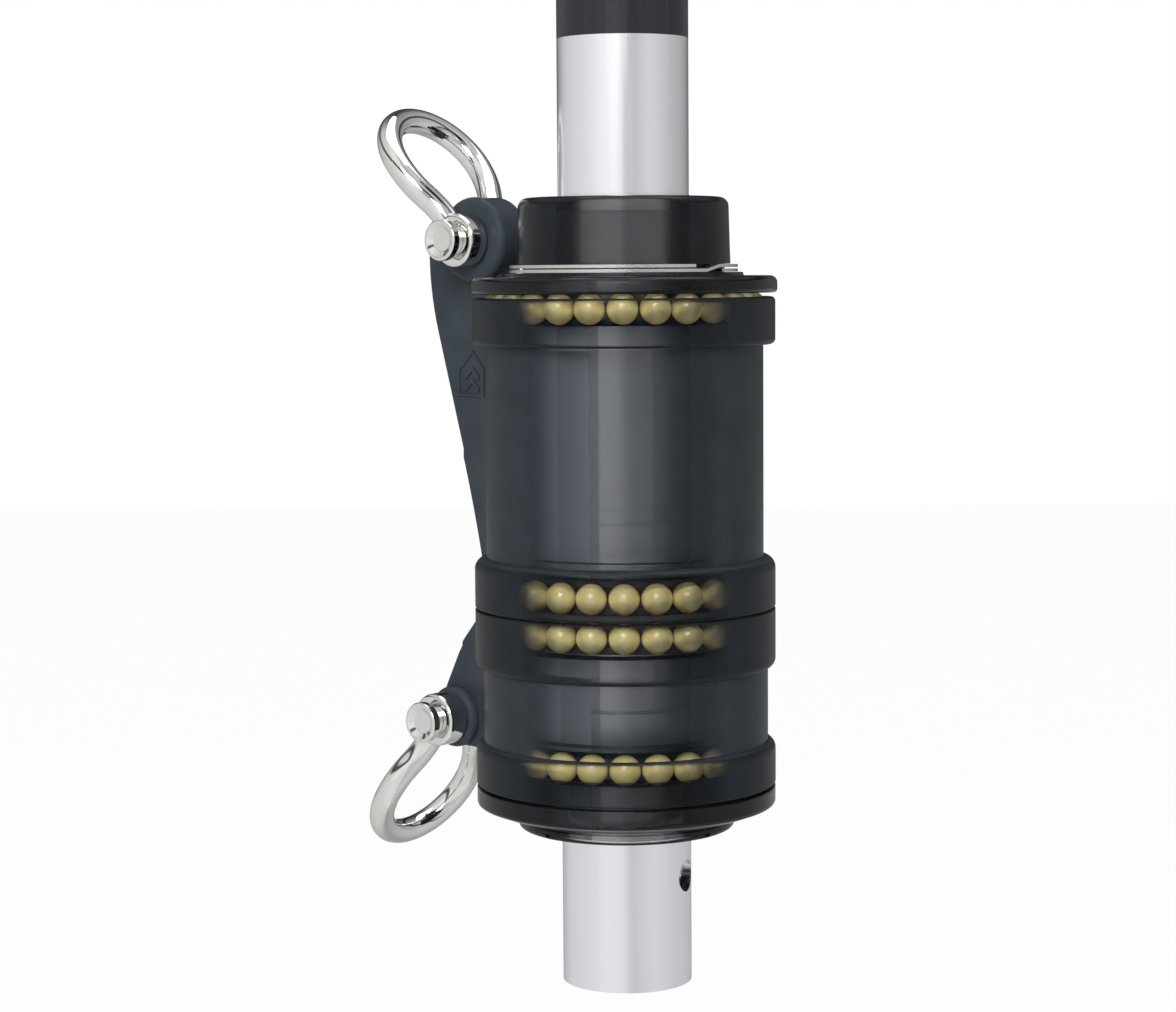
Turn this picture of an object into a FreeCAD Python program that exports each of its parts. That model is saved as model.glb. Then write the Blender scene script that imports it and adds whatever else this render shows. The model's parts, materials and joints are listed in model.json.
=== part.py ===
import FreeCAD, Part
import math
import os

# Ball-bearing furling swivel on a length of foil extrusion.
# Millimetres, +Z up the stay. The origin is on the stay axis at the lower end of the foil.
# The nose of the foil points to -Y and its luff grooves to +Y.

os.makedirs("parts", exist_ok=True)

V = FreeCAD.Vector
AXIS = V(0, 0, 1)

# Foil extrusion
stay_bore_d = 18.0
stay_tube_wall = 2.0
foil_skin = 2.2
foil_web = 2.0
nose_chamber = 6.8
flank_chamber = 3.7
tail_block = 10.1
tail_block_overlap = 0.5
foil_flank_r = 30.0
foil_tail_corner_r = 3.0
luff_groove_d = 5.2
luff_slot = 2.6
luff_wall = 1.9
luff_rib = 3.4
foil_joint_z = 244.6
foil_upper_length = 19.4
screw_hole_d = 8.3
screw_hole_z = 28.5
screw_hole_turn = 24.0

# Link bars and their countersunk screws
link_reach = 30.0
link_clearance = 0.2
link_screw_from_joint = 12.0
link_screw_back = 5.5
link_screw_d = 4.6
link_screw_head_d = 8.2
link_screw_length = 5.6
link_screw_sunk = 0.15
link_screw_mouth = 2.0
link_screw_slot = 1.0
link_screw_slot_depth = 0.9
screw_clearance = 0.1
link_end_margin = 1.0

# Inner sleeve
swivel_z = 40.2
foil_room = 1.6
sleeve_wall = 5.0
sleeve_thread_step = 2.9
sleeve_collar = 17.25
sleeve_top_taper = 0.5
sleeve_top_round = 2.5
sleeve_top_wall = 3.7
sleeve_foil_gap = 0.6
sleeve_end_recess = 0.5

# Balls and races
ball_d = 7.94
ball_clearance = 0.3
race_wall = 1.33
race_gap = 0.3
ball_row_turn = 1.3

# Housings
rim_wall = 2.28
upper_waist_step = 3.1
lower_waist_step = 2.0
housing_wall = 2.95
land_gap = 0.7
lower_housing_height = 45.9
upper_housing_height = 80.3
housing_seam = 0.5
upper_top_rim = 12.3
upper_low_rim = 13.0
lower_top_rim = 15.5
lower_low_rim = 11.3
upper_flange_top = 12.9
mid_flange = 3.7
lower_flange = 5.6
bottom_flange_top = 14.0
top_row_depth = 2.6
second_row_height = 5.3
third_row_depth = 4.1
bottom_row_height = 8.6
radial_land = 2.6
upper_lip_depth = 2.1
lower_lip_height = 2.2
rim_round = 1.5
shoulder_round = 3.0
lower_shoulder_round = 2.4
top_edge_round = 1.2
seam_edge_round = 0.4

# Cover disc, retaining ring, bottom cap and lock ring
cover_overhang = 0.55
cover_gap = 1.0
cover_thickness = 4.4
cover_bottom_round = 1.0
cover_top_round = 1.9
cover_hub_width = 3.3
cover_hub_height = 0.9
bore_gap = 0.15
ring_thickness = 0.8
ring_gap = 0.35
ring_width = 3.2
ring_groove = 1.5
ring_groove_play = 0.2
ring_start_angle = -33.0
ring_step_angle = 314.7
ring_step_end_angle = 324.8
ring_end_angle = 667.2
cap_inset = 0.05
cap_depth = 8.3
cap_seam = 0.7
cap_foot_width = 1.3
cap_dish_run = 5.0
cap_dish_rise = 1.7
cap_dish_round = 3.0
cap_flank_rise = 3.6
cap_hub_height = 13.0
cap_land_width = 3.9
cap_land_depth = 2.6
lock_ring_width = 3.6
lock_ring_height = 2.7
lock_notch_width = 3.0
lock_notch_depth = 0.9
lock_notch_height = 1.4

# Centre race ring
centre_ring_wall = 2.0
centre_ridge_step = 1.2
centre_ring_ridge = 1.4
centre_ring_margin = 4.5
press_gap = 0.05

# Foil bushings, spacer and circlip
bushing_foil_gap = 0.35
bushing_gap = 0.15
bushing_waist = 0.6
bushing_collar = 3.5
upper_bushing_length = 79.1
lower_bushing_length = 29.2
spacer_wall = 1.25
stack_gap = 0.1
circlip_thickness = 1.2
circlip_lip = 1.4
circlip_groove = 0.8
circlip_height = 2.3
circlip_opening = 8.0

# Ears
ear_park = -40.0
web_thickness = 5.0
web_edge_round = 1.2
web_flare_r = 25.0
web_flare_sink = 1.0
boss_thickness = 12.0
boss_round = 2.0
upper_boss_r = 11.6
upper_boss_reach = 9.05
upper_boss_rise = 15.2
upper_web_rise = 1.6
upper_web_drop = 1.2
upper_web_foot = 5.6
upper_web_foot_round = 4.0
upper_web_outer = 27.9
upper_web_outer_rise = 1.3
upper_web_bend = 80.0
upper_web_corner_rise = 2.4
upper_web_corner_round = 5.0
upper_web_crown_rise = 9.4
lower_boss_r = 8.4
lower_boss_reach = 18.25
lower_boss_height = 11.6
lower_web_drop = 1.9
lower_web_top_out = 5.75
lower_web_top_round = 2.0
lower_web_mid_out = 17.15
lower_web_mid_drop = 12.0
lower_web_bend = 30.0
lower_web_corner_out = 7.1
lower_web_corner_rise = 3.8
boss_to_web_edge = 0.4
web_root_depth = 0.15

# Shackles, pins and pin bushes
shackle_bar_d = 6.8
shackle_reach = 42.5
shackle_bow_width = 32.0
shackle_jaw = 12.8
shackle_ear_r = 7.2
shackle_ear_thickness = 6.6
shackle_ear_round = 1.2
shackle_leg = 4.0
upper_shackle_lean = 39.0
lower_shackle_lean = 33.4
pin_d = 6.3
pin_gap = 0.05
pin_end = 0.6
pin_tip_chamfer = 0.5
pin_neck_r = 4.0
pin_neck = 2.4
pin_head_r = 5.5
pin_head = 2.6
pin_dish_r = 4.6
pin_dish = 1.0
pin_floor_r = 3.0
pin_bush_wall = 1.4
pin_bush_recess = 0.1

# Heights that follow from the stack, from the bottom up
cap_bottom_z = swivel_z + lock_ring_height + stack_gap
cap_rim_z = cap_bottom_z + cap_depth
lower_bottom_z = cap_rim_z + cap_seam
bottom_row_z = lower_bottom_z + bottom_row_height
lower_top_z = lower_bottom_z + lower_housing_height
third_row_z = lower_top_z - third_row_depth
upper_bottom_z = lower_top_z + housing_seam
second_row_z = upper_bottom_z + second_row_height
upper_top_z = upper_bottom_z + upper_housing_height
top_row_z = upper_top_z - top_row_depth
cover_bottom_z = upper_top_z + cover_gap
cover_top_z = cover_bottom_z + cover_thickness
ring_bottom_z = cover_top_z + cover_hub_height + stack_gap
ring_height = 2 * ring_thickness + ring_gap
sleeve_top_z = ring_bottom_z + ring_height + sleeve_collar
cap_shoulder_z = cap_bottom_z + cap_hub_height
sleeve_bottom_z = swivel_z + sleeve_end_recess
sleeve_inner_top_z = sleeve_top_z - sleeve_top_wall
circlip_z = swivel_z + circlip_height
lower_bushing_z = circlip_z + circlip_thickness + stack_gap
lower_bushing_top_z = lower_bushing_z + lower_bushing_length
upper_bushing_top_z = sleeve_inner_top_z - stack_gap
upper_bushing_z = upper_bushing_top_z - upper_bushing_length
foil_top_z = foil_joint_z + foil_upper_length

# Foil section, from the stay bore outwards
stay_bore_r = stay_bore_d / 2
stay_tube_r = stay_bore_r + stay_tube_wall
foil_half = stay_tube_r + flank_chamber + foil_skin
foil_width = 2 * foil_half
foil_nose = stay_tube_r + nose_chamber + foil_skin
foil_tail = stay_tube_r - tail_block_overlap + tail_block
foil_widest_y = foil_half - foil_nose
foil_flank_x = foil_half - foil_flank_r
foil_corner_y = foil_tail - foil_tail_corner_r
foil_corner_x = foil_flank_x + math.sqrt(
    (foil_flank_r - foil_tail_corner_r) ** 2 - (foil_corner_y - foil_widest_y) ** 2)
foil_reach = math.hypot(foil_corner_x, foil_corner_y) + foil_tail_corner_r

# Radii that follow from the foil outwards
ball_r = ball_d / 2
groove_r = ball_r + race_gap
sleeve_bore_r = foil_reach + foil_room
sleeve_r = sleeve_bore_r + sleeve_wall
sleeve_thread_r = sleeve_r - sleeve_thread_step
sleeve_top_r = sleeve_r - sleeve_top_taper
ball_pitch_r = sleeve_r + race_wall + ball_r
balls_per_row = int(2 * math.pi * ball_pitch_r / (ball_d + ball_clearance))
rim_r = ball_pitch_r + ball_r + rim_wall
upper_waist_r = rim_r - upper_waist_step
lower_waist_r = rim_r - lower_waist_step
cavity_r = upper_waist_r - housing_wall
web_root = upper_waist_r - web_root_depth
radial_land_r = ball_pitch_r + radial_land
land_r = sleeve_r + land_gap
cover_r = rim_r + cover_overhang
cover_hub_r = sleeve_r + cover_hub_width
cap_r = rim_r - cap_inset
cap_bottom_r = sleeve_r + cap_foot_width
cap_land_r = ball_pitch_r + cap_land_width
lock_ring_r = sleeve_thread_r + lock_ring_width
centre_ring_r = sleeve_r + centre_ring_wall
centre_ring_ridge_r = ball_pitch_r - centre_ridge_step
bushing_r = sleeve_bore_r - bushing_gap
spacer_bore_r = bushing_r - spacer_wall
circlip_bore_r = sleeve_bore_r - circlip_lip
upper_boss_out = rim_r + upper_boss_reach
lower_boss_out = rim_r + lower_boss_reach
pin_r = pin_d / 2
pin_hole_r = pin_r + pin_gap
pin_bush_r = pin_hole_r + pin_bush_wall
shackle_bar_r = shackle_bar_d / 2


def unit(dx, dy):
    """Direction of (dx, dy) with length one."""
    length = math.hypot(dx, dy)
    return dx / length, dy / length


def rounded_wire(corners, place):
    """Closed wire through (a, b, radius) corners, each rounded by an arc of its radius."""
    starts, arcs, ends = [], [], []
    for i, (a, b, radius) in enumerate(corners):
        before = corners[i - 1]
        after = corners[(i + 1) % len(corners)]
        ua, ub = unit(before[0] - a, before[1] - b)
        va, vb = unit(after[0] - a, after[1] - b)
        half = math.acos(max(-1.0, min(1.0, ua * va + ub * vb))) / 2
        if radius <= 0:
            starts.append((a, b))
            arcs.append(None)
            ends.append((a, b))
            continue
        back = radius / math.tan(half)
        ma, mb = unit(ua + va, ub + vb)
        depth = radius / math.sin(half) - radius
        starts.append((a + ua * back, b + ub * back))
        arcs.append((a + ma * depth, b + mb * depth))
        ends.append((a + va * back, b + vb * back))
    edges = []
    for i in range(len(corners)):
        if arcs[i]:
            edges.append(Part.Arc(place(*starts[i]), place(*arcs[i]), place(*ends[i])).toShape())
        nxt = (i + 1) % len(corners)
        first, last = place(*ends[i]), place(*starts[nxt])
        if first.distanceToPoint(last) > 1e-6:
            edges.append(Part.makeLine(first, last))
    return Part.Wire(edges)


def turned(corners):
    """Solid of revolution about the stay axis, from (radius, height, rounding) corners."""
    wire = rounded_wire(corners, lambda r, z: V(r, 0, z))
    return Part.Face(wire).revolve(V(0, 0, 0), AXIS, 360)


def ring_solid(r_in, r_out, z0, z1):
    """Plain ring between two radii and two heights."""
    return turned([(r_in, z0, 0), (r_out, z0, 0), (r_out, z1, 0), (r_in, z1, 0)])


def race_groove(z):
    """Round groove that a ball row runs in."""
    return Part.makeTorus(ball_pitch_r, groove_r, V(0, 0, z), AXIS)


def save(shape, node):
    """Write one node."""
    clean = shape.removeSplitter()
    clean.exportStep("parts/" + node + ".step")


def group(shapes, node):
    """Write several separate solids as one node."""
    Part.makeCompound(shapes).exportStep("parts/" + node + ".step")


def arc_xy(centre, radius, a0, a1):
    """Arc in the XY plane between two angles in degrees."""
    def at(a):
        return centre + V(radius * math.cos(math.radians(a)), radius * math.sin(math.radians(a)), 0)
    return Part.Arc(at(a0), at((a0 + a1) / 2), at(a1)).toShape()


def foil_outline(grow):
    """Face of the foil's outer section, grown or shrunk all round."""
    flank_x, corner_x, corner_y = foil_flank_x, foil_corner_x, foil_corner_y
    turn = math.degrees(math.atan2(corner_y - foil_widest_y, corner_x - flank_x))
    corner_r = foil_tail_corner_r + grow
    nose = arc_xy(V(0, foil_widest_y, 0), foil_half + grow, 180, 360)
    right_flank = arc_xy(V(flank_x, foil_widest_y, 0), foil_flank_r + grow, 0, turn)
    right_corner = arc_xy(V(corner_x, corner_y, 0), corner_r, turn, 90)
    left_corner = arc_xy(V(-corner_x, corner_y, 0), corner_r, 90, 180 - turn)
    left_flank = arc_xy(V(-flank_x, foil_widest_y, 0), foil_flank_r + grow, 180 - turn, 180)
    tail_y = foil_tail + grow
    tail = Part.makeLine(V(corner_x, tail_y, 0), V(-corner_x, tail_y, 0))
    edges = [nose, right_flank, right_corner, tail, left_corner, left_flank]
    return Part.Face(Part.Wire(edges))


def foil_prism(grow, z0, z1):
    """Solid with the foil's outer shape between two heights."""
    prism = foil_outline(grow).extrude(V(0, 0, z1 - z0))
    prism.translate(V(0, 0, z0))
    return prism


def pocket_solids(shrink, z0, z1):
    """The four hollow chambers of the foil, front pair first, each shrunk all round."""
    height = z1 - z0
    wide = 2 * foil_width
    room = foil_prism(-foil_skin - shrink, z0, z1)
    room = room.cut(Part.makeCylinder(stay_tube_r + shrink, height, V(0, 0, z0)))
    half_web = foil_web / 2 + shrink
    room = room.cut(Part.makeBox(wide, 2 * half_web, height, V(-wide / 2, -half_web, z0)))
    front = Part.makeBox(2 * half_web, foil_width, height, V(-half_web, -foil_width, z0))
    room = room.cut(front)
    tail_front = foil_tail - tail_block - shrink
    room = room.cut(Part.makeBox(wide, foil_width, height, V(-wide / 2, tail_front, z0)))
    return sorted(room.Solids, key=lambda s: (round(s.CenterOfMass.y, 3), s.CenterOfMass.x))


def luff_grooves(z0, z1):
    """Two round grooves in the tail, each open to the back through a slot."""
    height = z1 - z0
    r = luff_groove_d / 2
    x = luff_rib / 2 + r
    y = foil_tail - luff_wall - luff_slot / 2 - r
    cuts = []
    for side in (-1, 1):
        hole = Part.makeCylinder(r, height, V(side * x, y, z0))
        slot = Part.makeBox(luff_slot, foil_tail, height, V(side * x - luff_slot / 2, y, z0))
        cuts.append(hole.fuse(slot))
    return cuts


def link_screw_frames():
    """Places and outward directions of the link screws, on the rear half of both flanks."""
    lean = math.asin((link_screw_back - foil_widest_y) / foil_flank_r)
    x = foil_flank_x + foil_flank_r * math.cos(lean)
    frames = []
    for side in (-1, 1):
        for rise in (-1, 1):
            z = foil_joint_z + rise * link_screw_from_joint
            out = V(side * math.cos(lean), math.sin(lean), 0)
            frames.append((V(side * x, link_screw_back, z), out))
    return frames


def screw_shape(place, out, grow):
    """Countersunk screw with its head just under the flank, grown for its hole."""
    head_r = link_screw_head_d / 2 + grow
    shank_r = link_screw_d / 2 + grow
    sink = head_r - shank_r
    top = place - out * (link_screw_sunk - grow)
    cone = Part.makeCone(head_r, shank_r, sink, top, -out)
    shank = Part.makeCylinder(shank_r, link_screw_length + grow, top, -out)
    return cone.fuse(shank)


def make_foil():
    """Lower and upper foil lengths, the link bars between them and their screws."""
    frames = link_screw_frames()
    holes = [screw_shape(place, out, screw_clearance) for place, out in frames]
    mouth = Part.makeCylinder(link_screw_head_d / 2 + screw_clearance, link_screw_mouth)
    for (place, out) in frames:
        m = mouth.copy()
        m.Placement = FreeCAD.Placement(place - out * 0.05, FreeCAD.Rotation(AXIS, out))
        holes.append(m)
    turn = math.radians(screw_hole_turn)
    square_to_skin = V(math.cos(turn), -math.sin(turn), 0)
    inside_skin = V(0, foil_widest_y, screw_hole_z) + square_to_skin * (foil_half - 2 * foil_skin)
    flank_hole = Part.makeCylinder(screw_hole_d / 2, foil_width, inside_skin, square_to_skin)
    for node, z0, z1 in (("foil_lower", 0, foil_joint_z), ("foil_upper", foil_joint_z, foil_top_z)):
        section = foil_prism(0, z0, z1)
        cuts = pocket_solids(0, z0, z1) + luff_grooves(z0, z1) + holes
        cuts.append(Part.makeCylinder(stay_bore_r, z1 - z0, V(0, 0, z0)))
        if node == "foil_lower":
            cuts.append(flank_hole)
        save(section.cut(Part.makeCompound(cuts)), node)
    bottom = foil_joint_z - link_reach
    top = min(foil_joint_z + link_reach, foil_top_z - link_end_margin)
    bars = pocket_solids(link_clearance, bottom, top)[2:]
    bars = [bar.cut(Part.makeCompound(holes[:4])) for bar in bars]
    group(bars, "foil_link_bars")
    screws = []
    for place, out in frames:
        screw = screw_shape(place, out, 0)
        corner = V(-link_screw_head_d, -link_screw_slot / 2, -link_screw_slot_depth)
        slot = Part.makeBox(2 * link_screw_head_d, link_screw_slot, 2 * link_screw_slot_depth, corner)
        head = FreeCAD.Placement(place - out * link_screw_sunk, FreeCAD.Rotation(AXIS, out))
        slot.Placement = head.multiply(slot.Placement)
        screws.append(screw.cut(slot))
    group(screws, "foil_link_screws")


def make_sleeve():
    """Inner sleeve: keyed on the foil at its top, threaded at its bottom."""
    groove_bottom = ring_bottom_z - stack_gap
    groove_top = ring_bottom_z + ring_height + stack_gap
    groove_floor = sleeve_r - ring_groove
    clip_bottom = circlip_z - stack_gap
    clip_top = circlip_z + circlip_thickness + stack_gap
    clip_floor = sleeve_bore_r + circlip_groove
    profile = [
        (0, sleeve_inner_top_z, 0),
        (sleeve_bore_r, sleeve_inner_top_z, 0),
        (sleeve_bore_r, clip_top, 0),
        (clip_floor, clip_top, 0),
        (clip_floor, clip_bottom, 0),
        (sleeve_bore_r, clip_bottom, 0),
        (sleeve_bore_r, sleeve_bottom_z, 0),
        (sleeve_thread_r, sleeve_bottom_z, 0),
        (sleeve_thread_r, cap_shoulder_z, 0),
        (sleeve_r, cap_shoulder_z, 0),
        (sleeve_r, groove_bottom, 0),
        (groove_floor, groove_bottom, 0),
        (groove_floor, groove_top, 0),
        (sleeve_r, groove_top, 0),
        (sleeve_top_r, sleeve_top_z, sleeve_top_round),
        (0, sleeve_top_z, 0),
    ]
    sleeve = turned(profile)
    sleeve = sleeve.cut(foil_prism(sleeve_foil_gap, sleeve_inner_top_z - 1, sleeve_top_z + 1))
    save(sleeve, "inner_sleeve")


def make_bushings():
    """Keyed slider bushings, the tube that spaces them and the circlip under them."""
    outer = bushing_r
    waist = outer - bushing_waist
    for node, z0, z1 in (("upper_foil_bushing", upper_bushing_z, upper_bushing_top_z),
                         ("lower_foil_bushing", lower_bushing_z, lower_bushing_top_z)):
        body = turned([
            (0, z0, 0), (outer, z0, 0), (outer, z0 + bushing_collar, 0),
            (waist, z0 + bushing_collar, 0), (waist, z1 - bushing_collar, 0),
            (outer, z1 - bushing_collar, 0), (outer, z1, 0), (0, z1, 0)])
        save(body.cut(foil_prism(bushing_foil_gap, z0 - 1, z1 + 1)), node)
    spacer = ring_solid(spacer_bore_r, outer, lower_bushing_top_z + stack_gap, upper_bushing_z - stack_gap)
    save(spacer, "bushing_spacer")
    clip_r = sleeve_bore_r + circlip_groove - bushing_gap
    clip = ring_solid(circlip_bore_r, clip_r, circlip_z, circlip_z + circlip_thickness)
    corner = V(0, -circlip_opening / 2, circlip_z - circlip_thickness)
    gap = Part.makeBox(2 * clip_r, circlip_opening, 3 * circlip_thickness, corner)
    save(clip.cut(gap), "bushing_circlip")


def make_cover():
    """Disc over the top ball row, with its hub under the retaining ring."""
    cover = turned([
        (sleeve_r + bore_gap, cover_bottom_z, 0),
        (cover_r, cover_bottom_z, cover_bottom_round),
        (cover_r, cover_top_z, cover_top_round),
        (cover_hub_r, cover_top_z, 0.5),
        (cover_hub_r, cover_top_z + cover_hub_height, 0.3),
        (sleeve_r + bore_gap, cover_top_z + cover_hub_height, 0)])
    save(cover.cut(race_groove(top_row_z)), "top_cover")


def make_retaining_ring():
    """Flat spiral ring of two turns, with the step between them at the front right."""
    r_in = sleeve_r - ring_groove + ring_groove_play
    r_out = r_in + ring_width
    rise = ring_thickness + ring_gap

    def section(angle, z):
        corners = [V(r_in, 0, z), V(r_out, 0, z), V(r_out, 0, z + ring_thickness), V(r_in, 0, z + ring_thickness)]
        wire = Part.makePolygon(corners + [corners[0]])
        wire.rotate(V(0, 0, 0), AXIS, angle)
        return wire

    def flat_turn(start, end, z):
        return Part.Face(section(start, z)).revolve(V(0, 0, 0), AXIS, end - start)

    low, high = ring_bottom_z, ring_bottom_z + rise
    ring = flat_turn(ring_start_angle, ring_step_angle, low)
    ring = ring.fuse(Part.makeLoft([section(ring_step_angle, low), section(ring_step_end_angle, high)], True, True))
    ring = ring.fuse(flat_turn(ring_step_end_angle, ring_end_angle, high))
    save(ring, "top_retaining_ring")


def make_bottom_cap():
    """Dish that closes the lower housing and carries the bottom ball row."""
    bore = sleeve_thread_r + bore_gap
    land_top = bottom_row_z - cap_land_depth
    hub_r = sleeve_r + bore_gap
    cap = turned([
        (bore, cap_bottom_z, 0),
        (cap_bottom_r, cap_bottom_z, 2.0),
        (cap_r - cap_dish_run, cap_bottom_z + cap_dish_rise, cap_dish_round),
        (cap_r, cap_bottom_z + cap_flank_rise, 1.2),
        (cap_r, cap_rim_z, 0.4),
        (cap_land_r, cap_rim_z, 0),
        (cap_land_r, land_top, 0),
        (hub_r, land_top, 0),
        (hub_r, cap_shoulder_z - stack_gap, 0),
        (bore, cap_shoulder_z - stack_gap, 0)])
    save(cap.cut(race_groove(bottom_row_z)), "bottom_cap")
    lock = turned([
        (bore, swivel_z, 0),
        (lock_ring_r, swivel_z, 1.3),
        (lock_ring_r, swivel_z + lock_ring_height, 0.5),
        (bore, swivel_z + lock_ring_height, 0)])
    for turn in range(4):
        corner = V(lock_ring_r - lock_notch_depth, -lock_notch_width / 2, swivel_z - lock_notch_height)
        notch = Part.makeBox(2 * lock_notch_depth, lock_notch_width, 2 * lock_notch_height, corner)
        notch.rotate(V(0, 0, 0), AXIS, 45 + 90 * turn)
        lock = lock.cut(notch)
    save(lock, "bottom_lock_ring")


def make_centre_race():
    """Ring on the sleeve that both middle ball rows run on, with a ridge between the rows."""
    middle = (second_row_z + third_row_z) / 2
    bottom, top = third_row_z - centre_ring_margin, second_row_z + centre_ring_margin
    half_ridge = centre_ring_ridge / 2
    ring = turned([
        (sleeve_r + press_gap, bottom, 0),
        (centre_ring_r, bottom, 0.3),
        (centre_ring_r, middle - half_ridge, 0),
        (centre_ring_ridge_r, middle - half_ridge, 0),
        (centre_ring_ridge_r, middle + half_ridge, 0),
        (centre_ring_r, middle + half_ridge, 0),
        (centre_ring_r, top, 0.3),
        (sleeve_r + press_gap, top, 0)])
    ring = ring.cut(race_groove(second_row_z)).cut(race_groove(third_row_z))
    save(ring, "centre_race_ring")


def make_ball_rows():
    """Four full rows of balls."""
    rows = (("ball_row_1", top_row_z), ("ball_row_2", second_row_z),
            ("ball_row_3", third_row_z), ("ball_row_4", bottom_row_z))
    for node, z in rows:
        balls = []
        for i in range(balls_per_row):
            angle = math.radians(-90 - ball_row_turn + 360 * i / balls_per_row)
            place = V(ball_pitch_r * math.cos(angle), ball_pitch_r * math.sin(angle), z)
            balls.append(Part.makeSphere(ball_r, place))
        group(balls, node)


def ear_place(out, z):
    """Point of an ear's middle plane before the housing is turned to its park angle."""
    return V(-out, 0, z)


def web_solid(corners):
    """Thin web from its side outline, with rounded edges."""
    wire = rounded_wire(corners, ear_place)
    web = Part.Face(wire).extrude(V(0, web_thickness, 0))
    web.translate(V(0, -web_thickness / 2, 0))
    flat = [e for e in web.Edges
            if abs(e.BoundBox.YMax - e.BoundBox.YMin) < 1e-6 and -e.BoundBox.XMin > web_root + 0.01]
    return web.makeFillet(web_edge_round, flat)


def web_flare(corners, waist_r, z0, z1):
    """Wide foot that runs the web into the round housing with a tangent fillet on each side."""
    half = web_thickness / 2
    centre_r = waist_r + web_flare_r
    cy = half + web_flare_r
    cx = math.sqrt(centre_r ** 2 - cy ** 2)
    touch_x, touch_y = cx * waist_r / centre_r, cy * waist_r / centre_r
    a, b = unit((touch_x + cx) / 2 - cx, (touch_y + half) / 2 - cy)
    mid = (cx + a * web_flare_r, cy + b * web_flare_r)

    def at(x, y):
        return V(-x, y, z0)

    edges = [
        Part.makeLine(at(cx, -half), at(cx, half)),
        Part.Arc(at(cx, half), at(*mid), at(touch_x, touch_y)).toShape(),
        Part.makeLine(at(touch_x, touch_y), at(0, 0)),
        Part.makeLine(at(0, 0), at(touch_x, -touch_y)),
        Part.Arc(at(touch_x, -touch_y), at(mid[0], -mid[1]), at(cx, -half)).toShape(),
    ]
    foot = Part.Face(Part.Wire(edges)).extrude(V(0, 0, z1 - z0))
    foot = foot.cut(Part.makeCylinder(waist_r - web_flare_sink, z1 - z0, V(0, 0, z0)))
    side = Part.Face(rounded_wire(corners, ear_place)).extrude(V(0, 2 * touch_y, 0))
    side.translate(V(0, -touch_y, 0))
    return foot.common(side)


def boss_solid(out, z, radius):
    """Round boss across the web, with its rims rounded."""
    boss = Part.makeCylinder(radius, boss_thickness, V(-out, -boss_thickness / 2, z), V(0, 1, 0))
    rims = [e for e in boss.Edges if abs(e.BoundBox.YMax - e.BoundBox.YMin) < 1e-6]
    return boss.makeFillet(boss_round, rims)


def ear_bore(out, z, radius):
    """Cylinder across an ear."""
    return Part.makeCylinder(radius, 2 * boss_thickness, V(-out, -boss_thickness, z), V(0, 1, 0))


def park(shape):
    """Turn a housing or what hangs on it to the park angle."""
    turned_shape = shape.copy()
    turned_shape.rotate(V(0, 0, 0), AXIS, ear_park)
    return turned_shape


def make_upper_housing():
    """Upper housing: two rims, a waist, and an ear that reaches over the cover disc."""
    top_ledge = upper_top_z - upper_top_rim
    low_ledge = upper_bottom_z + upper_low_rim
    shell = turned([
        (land_r, upper_bottom_z, 0),
        (rim_r, upper_bottom_z, seam_edge_round),
        (rim_r, low_ledge, shoulder_round),
        (upper_waist_r, low_ledge, 0),
        (upper_waist_r, top_ledge, 0),
        (rim_r, top_ledge, rim_round),
        (rim_r, upper_top_z, top_edge_round),
        (land_r, upper_top_z, 0)])
    boss_z = upper_top_z + upper_boss_rise
    clear_r = cover_r + cover_gap
    web_bottom = upper_bottom_z + upper_web_rise
    web_top = upper_top_z - upper_web_drop
    corners = [
        (web_root, web_bottom, 0),
        (rim_r + upper_web_foot, web_bottom, upper_web_foot_round),
        (rim_r + upper_web_outer, upper_top_z + upper_web_outer_rise, upper_web_bend),
        (rim_r + upper_web_outer, boss_z + upper_web_corner_rise, upper_web_corner_round),
        (upper_boss_out, boss_z + upper_web_crown_rise, 0),
        (upper_boss_out, boss_z, 0),
        (clear_r, boss_z, 0),
        (clear_r, web_top, 0),
        (web_root, web_top, 0)]
    ear = web_solid(corners).fuse(boss_solid(upper_boss_out, boss_z, upper_boss_r))
    flare = web_flare(corners, upper_waist_r, web_bottom, web_top)
    shell = shell.fuse(flare).fuse(ear)
    flange_top_z = upper_top_z - upper_flange_top
    mid_flange_z = second_row_z + 2 * centre_ring_margin - ball_r
    mid_top = mid_flange_z + mid_flange
    inner_lip = top_row_z - upper_lip_depth
    cuts = [
        ring_solid(land_r - 1, cavity_r, mid_top, flange_top_z),
        ring_solid(land_r - 1, radial_land_r, upper_bottom_z - 1, mid_flange_z),
        ring_solid(land_r - 1, ball_pitch_r, inner_lip, upper_top_z + 1),
        race_groove(top_row_z),
        race_groove(second_row_z),
        ear_bore(upper_boss_out, boss_z, pin_bush_r)]
    for cut in cuts:
        shell = shell.cut(cut)
    save(park(shell), "upper_housing")
    return boss_z


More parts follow.
